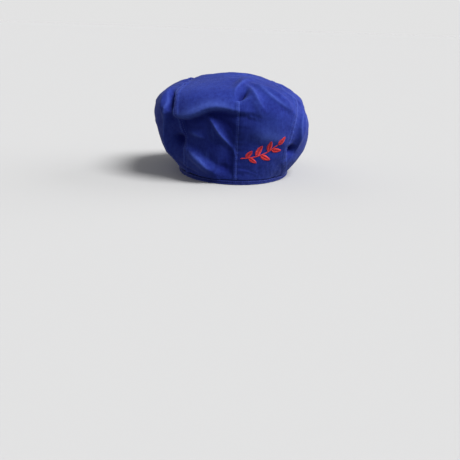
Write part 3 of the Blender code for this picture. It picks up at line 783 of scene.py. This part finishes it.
def twill(name, deep, dye, faded_dye):
    """Brushed cotton twill: slanting ribs of yarn, a little fuzz, uneven dye, fading where worn, and
    painted shade that darkens it in hollows.
    """
    made, start, shader = new_finish(name)
    place = start.node("UVMap", {"uv_map": "cloth"}, {})
    u = place.node("SeparateXYZ", {}, {0: place}, out="X")
    v = u.other("Y")
    slant = math.radians(TWILL_SLANT_DEG)
    rib = u * (math.sin(slant) / TWILL_RIB) + v * (math.cos(slant) / TWILL_RIB)
    rib = (rib * (2 * math.pi)).waves()
    yarn = (v * (2 * math.pi / YARN)).waves()
    body = start.node("TexCoord", {}, {}, out="Object")
    fuzz = body.noise(FUZZ_SCALE, 3.0, 0.7)
    slub = start.node("CombineXYZ", {}, {0: u * SLUB_ACROSS, 1: v * SLUB_ALONG, 2: 0.0})
    slub = slub.noise(SLUB_SCALE, 2.0)
    mottle = body.noise(MOTTLE_SCALE, 5.0, 0.6)
    cloud = body.noise(CLOUD_SCALE, 2.0)
    wear_and_shade = start.node("Attribute", {"attribute_name": "wear_and_shade"}, {}, out="Fac")
    tone = mottle - 0.5 + (cloud - 0.5) * CLOUD_TONE + (slub - 0.5) * SLUB_TONE + (fuzz - 0.5) * FUZZ_TONE
    tone = (tone + rib * RIB_TONE + PLAIN_TONE).clamped()
    fading = (wear_and_shade * (FADED_EVENLY + mottle * FADED_BY_MOTTLE)).clamped()
    # Painted shade: in the hollows of the folds the tone is pulled down towards the deep colour.
    sunk = (wear_and_shade * -1.0).clamped()
    tone = tone * (1.0 - sunk * HOLLOW_SHADE_MOST)
    colour = (fading * FADED_MOST).mixed(tone.mixed(deep, dye), faded_dye)
    colour.feed(shader, "Base Color")
    (CLOTH_ROUGHNESS + fuzz * FUZZ_ROUGHNESS).feed(shader, "Roughness")
    height = rib * (1.0 - yarn * YARN_DIP) * TWILL_RELIEF + fuzz * FUZZ_RELIEF + slub * SLUB_RELIEF
    height.relief(shader)
    shader.inputs["Sheen Weight"].default_value = 0.05
    shader.inputs["Sheen Roughness"].default_value = 0.45
    shader.inputs["Sheen Tint"].default_value = (0.6, 0.8, 1.0, 1.0)
    shader.inputs["Specular IOR Level"].default_value = 0.18
    return made


crown_twill = twill("crown_twill", DEEP_DYE_AND_HOLLOW_SHADE, DYE, FADED_DYE)


def rows_on_seams(shares):
    """Places on the seams, counted in stations, at shares of their length."""
    places = [np.interp(shares * seam.at[-1], seam.at, seam_at) for seam in SEAMS.values()]
    return (places[0] + places[1]) / 2


def top_places(shares, across):
    """A grid of places on the chart over the top crown, with -1 and 1 across it at its seams."""
    rows = rows_on_seams(shares)
    left, right = seam_chart("left", rows)[:, None], seam_chart("right", rows)[:, None]
    seam = np.where(across[:, None] > 0, left, right)
    middle = through(np.array(STATIONS)[:, STATION_COLUMNS.index("middle")], rows)[:, None]
    arc = np.interp(rows, (0, len(STATIONS) - 1), (STATIONS[0][0], 180.0 - STATIONS[-1][0]))
    arc = np.radians(arc)[:, None]
    fall = (1 - np.cos(across * arc)) / (1 - np.cos(arc))
    aside = seam[..., 0] * np.abs(np.sin(across * arc)) / np.sin(arc)
    return np.stack([aside, middle + (seam[..., 1] - middle) * fall], axis=-1)


def side_places(side, shares, up):
    """A grid of places on the chart over a side crown, from its lower edge to its seam."""
    column = STATION_COLUMNS.index(side + "_turn")
    edge = chart_of(np.interp(shares, (0, 1), (STATIONS[0][column], STATIONS[-1][column])), 0.0 * shares)
    seam = seam_chart(side, rows_on_seams(shares))
    return edge[:, None] + (seam - edge)[:, None] * up[None, :, None]


def finer(grid, rows, columns):
    """A grid of vectors read smoothly at finer rows and columns, both given as shares from 0 to 1."""
    along = through(grid, rows * (len(grid) - 1))
    return np.swapaxes(through(np.swapaxes(along, 0, 1), columns * (grid.shape[1] - 1)), 0, 1)


SAG_ROWS = 73
SAG_ACROSS = 49
SAG_UP = 29
SAG_SCALE = 10.0
SAG_FRAMES = 30
SAG_FIXED = 0.012
SAG_FADE = 0.015
SAG_HOLD = 0.06
SAG_SEAM_HOLD = 0.20
SAG_GRAVITY = 0.05
SAG_MOST = 0.010
SAG_AT_BACK = 0.30
SAG_EVENINGS = 90
SAG_FREE = -0.040
SAG_STILL = 0.090
SAG_SETTINGS = {
    "quality": 8,
    "mass": 0.3,
    "air_damping": 3.0,
    "tension_stiffness": 60.0,
    "compression_stiffness": 60.0,
    "shear_stiffness": 20.0,
    "bending_stiffness": 0.4,
    "tension_damping": 10.0,
    "compression_damping": 10.0,
    "shear_damping": 10.0,
    "bending_damping": 0.5,
    "pin_stiffness": 0.5,
    "shrink_min": -0.035,
}

seam_shares = spread(SEAMS["left"].at[-1], 0.0006, 0.0017)
half_across = spread(0.080)
across = np.concatenate([-half_across[:0:-1], half_across])
up = spread(0.150)
top_chart = top_places(seam_shares, across)
sags = {"top": 0.0, "left": 0.0, "right": 0.0}
shares = np.linspace(0, 1, SAG_ROWS)
charts = {"top": top_places(shares, np.linspace(-1, 1, SAG_ACROSS))}
for side in SEAMS:
    charts[side] = side_places(side, shares, np.linspace(0, 1, SAG_UP))
moved = sagged(**{name: crown_form(chart)[0] for name, chart in charts.items()})
columns = {"top": (across + 1) / 2, "left": up, "right": up}
sags = {name: finer(grid, seam_shares, columns[name]) for name, grid in moved.items()}
top_crown, top_points = crown_panel("top_crown_cloth", top_chart, "top", ((0, 1), (-1, -2)), 0, sags["top"])
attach(top_crown, "root")
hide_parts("top_crown")

# The side crowns
# Two mirrored panels of the same twill, one on each side, between the curved seam and the hem. Their
# upper edges are turned under and sewn to the top crown, and their lower edges to the hem band.
for side in SEAMS:
    chart = side_places(side, seam_shares, up)
    piece, _ = crown_panel("side_crown_%s_cloth" % side, chart, "side", ((-1, -2),), 1, sags[side])
    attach(piece, "root")
    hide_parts("side_crown_" + side)

# The seam stitches
# Rows of blue cotton thread, a little lighter than the cloth: two along each seam of the top crown and
# two up the dart. Each stitch is a grain of thread that dips into the cloth at both ends.
STITCH_PITCH = 0.0031
STITCH_LENGTH = 0.0025
STITCH_WIDTH = 0.00050
STITCH_HEIGHT = 0.00042
STRAND_SIDES = 8
STRAND_RINGS = 6
STRAND_BEND = 1.6
STRAND_RISE = 0.25
THREAD = (0.030, 0.062, 0.400, 1.0)
DARK_THREAD = (0.014, 0.032, 0.260, 1.0)
PATCH_SCALE = 420.0
PATCH_TONE = 1.1
TWIST_SCALE = 3800.0
TWIST_TONE = 0.9
TWIST_ROUGHNESS = 0.25
TWIST_RELIEF = 0.00008


def line_at(points, distance):
    """The line over a grid of points that keeps a distance from its first column."""
    away = lengths_along(points, 1)
    return np.array([[np.interp(distance, a, p[:, k]) for k in range(3)] for a, p in zip(away, points)])


def normals_at(cloth, places):
    """The outward normals of a piece of cloth nearest to the places given."""
    corners = [corner.co for corner in cloth.data.vertices]
    tree = BVHTree.FromPolygons(corners, [face.vertices for face in cloth.data.polygons])
    return np.array([tree.find_nearest(Vector(place))[1] for place in places])


def stitch_ends(line):
    """Both ends of every stitch of a row along a line of points."""
    at = lengths_along(line)
    middles = np.arange(STITCH_PITCH / 2, at[-1] - STITCH_PITCH / 2, STITCH_PITCH)
    return [
        np.stack([np.interp(middles + half, at, line[:, k]) for k in range(3)], axis=-1)
        for half in (-STITCH_LENGTH / 2, STITCH_LENGTH / 2)]


def strands(name, starts, ends, normals, width, height, thread):
    """Strands of thread between two rows of places, half sunk in the cloth, as one piece."""
    bpy.ops.mesh.primitive_uv_sphere_add(segments=STRAND_SIDES, ring_count=STRAND_RINGS, radius=0.5)
    ball = bpy.context.object.data
    grain = np.array([corner.co for corner in ball.vertices])[:, [2, 0, 1]]
    grain[:, 2] -= STRAND_BEND * grain[:, 0] ** 2
    faces = sorted(list(face.vertices) for face in ball.polygons)
    bpy.data.meshes.remove(ball)
    along = ends - starts
    forwards = along / np.linalg.norm(along, axis=1, keepdims=True)
    upwards = normals - forwards * (normals * forwards).sum(axis=1, keepdims=True)
    upwards /= np.linalg.norm(upwards, axis=1, keepdims=True)
    aside = np.cross(upwards, forwards)
    corners = (
        ((starts + ends) / 2)[:, None]
        + grain[None, :, :1] * along[:, None]
        + grain[None, :, 1:2] * aside[:, None] * width
        + (grain[None, :, 2:] + STRAND_RISE) * upwards[:, None] * height)
    mesh = bpy.data.meshes.new(name)
    mesh.from_pydata(
        corners.reshape(-1, 3).tolist(), [],
        [[corner + i * len(grain) for corner in face] for i in range(len(starts)) for face in faces])
    piece = new_piece(name, mesh, thread)
    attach(piece, "root")


def rows_of_stitches(name, lines, normals_of, thread):
    """Rows of stitches along several lines, as one piece."""
    starts, ends = (np.concatenate(side) for side in zip(*(stitch_ends(line) for line in lines)))
    strands(
        name, starts, ends, normals_of((starts + ends) / 2), STITCH_WIDTH, STITCH_HEIGHT, thread)


def cotton_thread(name, dark, light):
    """Cotton thread: uneven dye, a soft shine and the fine twist of its yarn."""
    made, start, shader = new_finish(name)
    body = start.node("TexCoord", {}, {}, out="Object")
    patches = body.noise(PATCH_SCALE, 2.0)
    twist = body.noise(TWIST_SCALE, 2.0)
    tone = (patches - 0.5) * PATCH_TONE + (twist - 0.5) * TWIST_TONE + 0.5
    tone.clamped().mixed(dark, light).feed(shader, "Base Color")
    (0.5 + twist * TWIST_ROUGHNESS).feed(shader, "Roughness")
    (twist * TWIST_RELIEF).relief(shader)
    shader.inputs["Sheen Weight"].default_value = 0.1
    return made


blue_thread = cotton_thread("blue_thread", DARK_THREAD, THREAD)
centre = top_points.shape[1] // 2
dart_rows = int((np.abs(1 - top_chart[:, centre, 1]) * TOP_RISE < DART_RISE).sum())
dart_side = top_points[:dart_rows, centre:]
seam_lines = [line_at(top_points[:, ::way], row) for way in (1, -1) for row in STITCH_ROWS]
seam_lines += [line_at(dart_side, row) for row in DART_ROWS]
rows_of_stitches(
    "seam_stitches", seam_lines, lambda places: normals_at(top_crown, places), blue_thread)

# The embroidery
# A sprig of leaves in red satin stitch, low on the back of the top crown and to the right of the dart.
# Each leaf is filled from its midrib outwards, and the stem is a narrow row of slanting strands.
SPRIG_RIGHT_OF_DART = 0.0355
SPRIG_ABOVE_HEM = 0.0400
STEM = ((-0.0315, -0.0085), (-0.0150, -0.0060), (0.0040, 0.0000), (0.0190, 0.0105))
STEM_WIDTH = 0.0015
STEM_SLANT = 5
SATIN_PITCH = 0.00044
SATIN_WIDTH = 0.00058
SATIN_HEIGHT = 0.00100
SATIN_SLANT = 0.17
LEAF_COLUMNS = ("share", "angle_deg", "length", "width")
LEAVES = (
    (0.16, 52.0, 0.0135, 0.0062),
    (0.24, -50.0, 0.0125, 0.0058),
    (0.42, 55.0, 0.0175, 0.0074),
    (0.52, -52.0, 0.0160, 0.0070),
    (0.72, 56.0, 0.0165, 0.0070),
    (0.80, -54.0, 0.0150, 0.0066),
    (1.00, 4.0, 0.0165, 0.0070),
)
LEAF_FROM = 0.02
LEAF_TO = 0.94
LEAF_BEND = 0.14
LEAF_TAPER = 0.8
LEAF_FULLNESS = 0.85
LEAF_HALF_RIB = 0.0002
RED_THREAD = (0.720, 0.022, 0.026, 1.0)
DARK_RED_THREAD = (0.480, 0.010, 0.014, 1.0)


def on_top_crown(place):
    """The point of the top crown at a place measured over the cloth from the dart and the hem."""
    right, above = place
    to_right = top_points[:, centre::-1]
    rows = np.interp(above, lengths_along(top_points, 0)[:, centre], np.arange(len(top_points)))
    low = int(rows)
    ends = line_at(to_right[low:low + 2], right)
    return ends[0] + (ends[1] - ends[0]) * (rows - low)


def turned_by(direction, degrees):
    """A direction on the flat, turned to the left."""
    angle = math.radians(degrees)
    return np.array([
        direction[0] * math.cos(angle) - direction[1] * math.sin(angle),
        direction[0] * math.sin(angle) + direction[1] * math.cos(angle)])


stem_at = np.linspace(0, len(STEM) - 1, 160)
stem = through(np.array(STEM), stem_at)
stem_way = np.gradient(stem, axis=0)
stem_way /= np.linalg.norm(stem_way, axis=1, keepdims=True)
stem_length = lengths_along(stem)[-1]
flat_strands = []
for i in np.linspace(0, len(stem) - 1 - STEM_SLANT, int(stem_length / SATIN_PITCH)).astype(int):
    aside = turned_by(stem_way[i], 90.0) * STEM_WIDTH / 2
    flat_strands.append((stem[i] - aside, stem[i + STEM_SLANT] + aside))
for leaf in (dict(zip(LEAF_COLUMNS, row)) for row in LEAVES):
    root = int(leaf["share"] * (len(stem) - 1))
    way = turned_by(stem_way[root], leaf["angle_deg"])
    bend = turned_by(way, -90.0 if leaf["angle_deg"] > 10 else 90.0) * leaf["length"] * LEAF_BEND
    for side in (90.0, -90.0):
        for s in np.arange(LEAF_FROM, LEAF_TO, SATIN_PITCH / leaf["length"]):
            tip = min(1.0, s + SATIN_SLANT * (1 - s))
            fullness = math.sin(math.pi * tip ** LEAF_TAPER) ** LEAF_FULLNESS
            half = leaf["width"] / 2 * fullness + LEAF_HALF_RIB
            inner = stem[root] + way * leaf["length"] * s + bend * s * s
            outer = stem[root] + way * leaf["length"] * tip + bend * tip * tip + turned_by(way, side) * half
            flat_strands.append((inner, outer))
flat_strands = np.array(flat_strands) + (SPRIG_RIGHT_OF_DART, SPRIG_ABOVE_HEM)
starts, ends = (np.array([on_top_crown(place) for place in flat_strands[:, k]]) for k in (0, 1))
red_thread = cotton_thread("red_thread", DARK_RED_THREAD, RED_THREAD)
strands(
    "leaf_sprig_embroidery", starts, ends, normals_at(top_crown, (starts + ends) / 2),
    SATIN_WIDTH, SATIN_HEIGHT, red_thread)

# The hem band
# A narrow strip of the same twill, folded in two lengthways round the opening, with its fold at the
# bottom and its two edges sewn to the crown's lower edge.
BAND_CLOTH = 0.0012
BAND_FOLD = 0.0007
BAND_COLUMNS = 420
BAND_WAVE = 0.00022
BAND_WAVES = 47
BAND_SHIFTS = 11
BAND_SHIFT = 1.5
BAND_WALL_ROWS = 7
BAND_FOLD_ROWS = 6
BAND_WEAR = 0.5
BAND_WEAR_HEIGHT = 0.001
# The band's colours are darker than the crown's, though it is the same twill: painted shade under the
# crown's lower edge.
BAND_DYE_AND_SHADE = (0.009, 0.019, 0.160, 1.0)
BAND_DEEP_DYE_AND_SHADE = (0.003, 0.006, 0.080, 1.0)
turn = np.linspace(-180, 180, BAND_COLUMNS + 1)[:, None]
wall_up = np.linspace(0.0, 1.0, BAND_WALL_ROWS)
bend = np.linspace(0.0, math.pi, BAND_FOLD_ROWS + 2)[1:-1]
fold_bottom = BAND_FOLD + BAND_CLOTH / 2
straight = BAND_HEIGHT - fold_bottom
wall_out = np.full(BAND_WALL_ROWS, BAND_FOLD)
outwards = np.concatenate([wall_out, BAND_FOLD * np.cos(bend), -wall_out])
upwards = np.concatenate([
    BAND_HEIGHT - straight * wall_up,
    fold_bottom - BAND_FOLD * np.sin(bend),
    fold_bottom + straight * wall_up])
around = np.radians(turn)
wave = BAND_WAVE * np.sin(around * BAND_WAVES + BAND_SHIFT * np.sin(around * BAND_SHIFTS))
reach_out = outwards[None, :] - BAND_FOLD - BAND_CLOTH / 2 + wave
points = np.stack([
    (hem_reach[0] + reach_out) * np.sin(around),
    (hem_reach[1] + reach_out) * np.cos(around),
    hem_lift(turn) + upwards[None, :],
], axis=-1)
uv = np.stack([lengths_along(points, 0), lengths_along(points, 1)], axis=-1)
band_worn = BAND_WEAR * np.exp(-upwards[None, :] / BAND_WEAR_HEIGHT) + 0 * turn
band_mesh = grid_mesh("hem_band_cloth", points, band_worn, uv)
weld(band_mesh)
band_twill = twill("band_twill", BAND_DEEP_DYE_AND_SHADE, BAND_DYE_AND_SHADE, FADED_DYE)
hem_band = new_piece("hem_band_cloth", band_mesh, band_twill, BAND_CLOTH)
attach(hem_band, "root")
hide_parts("hem_band")
BAND_ROWS = (0.0014, 0.0046)
band_lines = [
    np.stack([
        (hem_reach[0] + wave[:, 0]) * np.sin(around[:, 0]) + hem_middle[0],
        (hem_reach[1] + wave[:, 0]) * np.cos(around[:, 0]) + hem_middle[1],
        hem_lift(turn[:, 0]) + row], axis=-1)
    for row in BAND_ROWS]


def away_from_hem(places):
    """Level directions away from the middle of the hem."""
    level = (places - hem_middle) * (1 / hem_reach[0] ** 2, 1 / hem_reach[1] ** 2, 0.0)
    return level / np.linalg.norm(level, axis=1, keepdims=True)


rows_of_stitches("hem_stitches", band_lines, away_from_hem, blue_thread)

# The peak
# A short stiff peak, whose board is covered with the same twill. The cover is sewn together round the
# rim, and two rows of stitches hold it to the board. Its root is sewn in under the crown's front.
PEAK_COLUMNS = 240
PEAK_ACROSS = 44
PEAK_ROWS = (0.0030, 0.0090)
PEAK_END = 0.0030
PEAK_EDGE = 0.001
PEAK_WAVE = 0.00018
PEAK_WAVE_REACH = 0.006
PEAK_WAVE_LENGTH = 0.0018
PEAK_SHIFT_LENGTH = 0.011
PEAK_CROWDING = 0.8
PEAK_STITCHED = slice(3, -3)
PEAK_WEAR_WIDTH = 0.0012
turn = np.linspace(PEAK_CORNER_DEG, 360.0 - PEAK_CORNER_DEG, PEAK_COLUMNS + 1)[:, None]
share = smooth(np.linspace(0.0, 1.0, PEAK_ACROSS + 1))[None, :] ** PEAK_CROWDING
upper = peak_top(turn + 0 * share, share + 0 * turn)
across = lengths_along(upper, 1)
from_rim = across[:, -1:] - across
along = lengths_along(upper, 0)[:, -1:]
from_end = np.minimum(along, along[-1] - along)
half = PEAK_THICKNESS / 2
round_end = np.sqrt(1 - np.clip(1 - from_end / PEAK_END, 0, 1) ** 2)
round_rim = np.sqrt(1 - np.clip(1 - from_rim / half, 0, 1) ** 2)
wave = np.sin(along / PEAK_WAVE_LENGTH + 2 * np.sin(along / PEAK_SHIFT_LENGTH))
wave = wave * np.exp(-from_rim / PEAK_WAVE_REACH)
relief = PEAK_WAVE * wave - stitch_dips(from_rim, PEAK_ROWS)
thick = half * round_end * round_rim + relief * round_end * smooth(from_rim / PEAK_EDGE)
middle_up = upper[..., 2] - half
above = np.stack([upper[..., 0], upper[..., 1], middle_up + thick], axis=-1)
below = np.stack([upper[..., 0], upper[..., 1], middle_up - thick], axis=-1)
points = np.concatenate([above, below[:, ::-1][:, 1:]], axis=1)
points = np.concatenate([points, above[:, :1]], axis=1)
uv = np.stack([lengths_along(points, 0), lengths_along(points, 1)], axis=-1)
rim_worn = beside(from_rim, 0.0, PEAK_WEAR_WIDTH)
peak_worn = np.concatenate([rim_worn, rim_worn[:, ::-1][:, 1:], rim_worn[:, :1]], axis=1)
peak_mesh = grid_mesh("peak_cloth_cover", points, peak_worn, uv)
weld(peak_mesh, turn_outwards=True)
peak = new_piece("peak_cloth_cover", peak_mesh, crown_twill)
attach(peak, "root")
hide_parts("peak")
peak_lines = [line_at(above[PEAK_STITCHED, ::-1] + hem_middle, row) for row in PEAK_ROWS]
rows_of_stitches("peak_stitches", peak_lines, lambda places: 0 * places + (0, 0, 1), blue_thread)

# The floor, the light and the camera
# A plain pale floor that runs out to a backdrop of the same tone and throws no light back on the cap.
# One broad soft light comes from above and the camera's right, two weaker ones come from the sides, and
# a little from all round. The camera sees the cap from behind.
FLOOR_SIZE = 60.0
FLOOR_PALE = (0.457, 0.457, 0.459, 1.0)
bpy.ops.mesh.primitive_plane_add(size=FLOOR_SIZE)
floor = bpy.context.object
floor.name = "floor"
floor_paint, _, floor_shader = new_finish("floor_paint")
floor_shader.inputs["Base Color"].default_value = FLOOR_PALE
floor_shader.inputs["Roughness"].default_value = 0.9
floor_shader.inputs["Specular IOR Level"].default_value = 0.0
floor.data.materials.append(floor_paint)
floor.visible_diffuse = False

LIGHT_ALL_ROUND = 0.29
BACKDROP_PALE = 0.765
LIGHTS = {
    "over": ((-0.50, 0.32, 0.80), 30.0, 4.4),
    "right": ((-0.94, -0.28, 0.20), 60.0, 2.4),
    "left": ((0.80, -0.60, 0.30), 80.0, 0.7),
}
world = bpy.data.worlds.new("studio")
bpy.context.scene.world = world
world.use_nodes = True
backdrop = world.node_tree.nodes["Background"]
seen = Wire(world.node_tree).node("LightPath", {}, {}, out="Is Camera Ray")
(seen * (BACKDROP_PALE - LIGHT_ALL_ROUND) + LIGHT_ALL_ROUND).feed(backdrop, "Strength")
backdrop.inputs["Color"].default_value = (1.0, 1.0, 1.0, 1.0)
for name, (place, softness, strength) in LIGHTS.items():
    light = bpy.data.lights.new(name, "SUN")
    light.energy = strength
    light.angle = math.radians(softness)
    lamp = bpy.data.objects.new(name, light)
    bpy.context.scene.collection.objects.link(lamp)
    lamp.rotation_euler = Vector(place).to_track_quat("Z", "Y").to_euler()

CAMERA_LENS = 52.2
CAMERA_PLACE = (0.0512, 0.9768, 0.2079)
CAMERA_AIM_DEG = -2.92
CAMERA_DOWN_DEG = 17.17
CAMERA_ROLL_DEG = 2.0
camera = bpy.data.objects.new("camera", bpy.data.cameras.new("camera"))
bpy.context.scene.collection.objects.link(camera)
camera.data.sensor_width = 36.0
camera.data.lens = CAMERA_LENS
camera.matrix_world = (
    Matrix.Translation(Vector(hem_middle) + Vector(CAMERA_PLACE))
    @ Matrix.Rotation(math.radians(180.0 + CAMERA_AIM_DEG), 4, "Z")
    @ Matrix.Rotation(math.radians(90.0 - CAMERA_DOWN_DEG), 4, "X")
    @ Matrix.Rotation(math.radians(CAMERA_ROLL_DEG), 4, "Z")
)
bpy.context.scene.camera = camera
bpy.context.scene.view_settings.view_transform = "Standard"
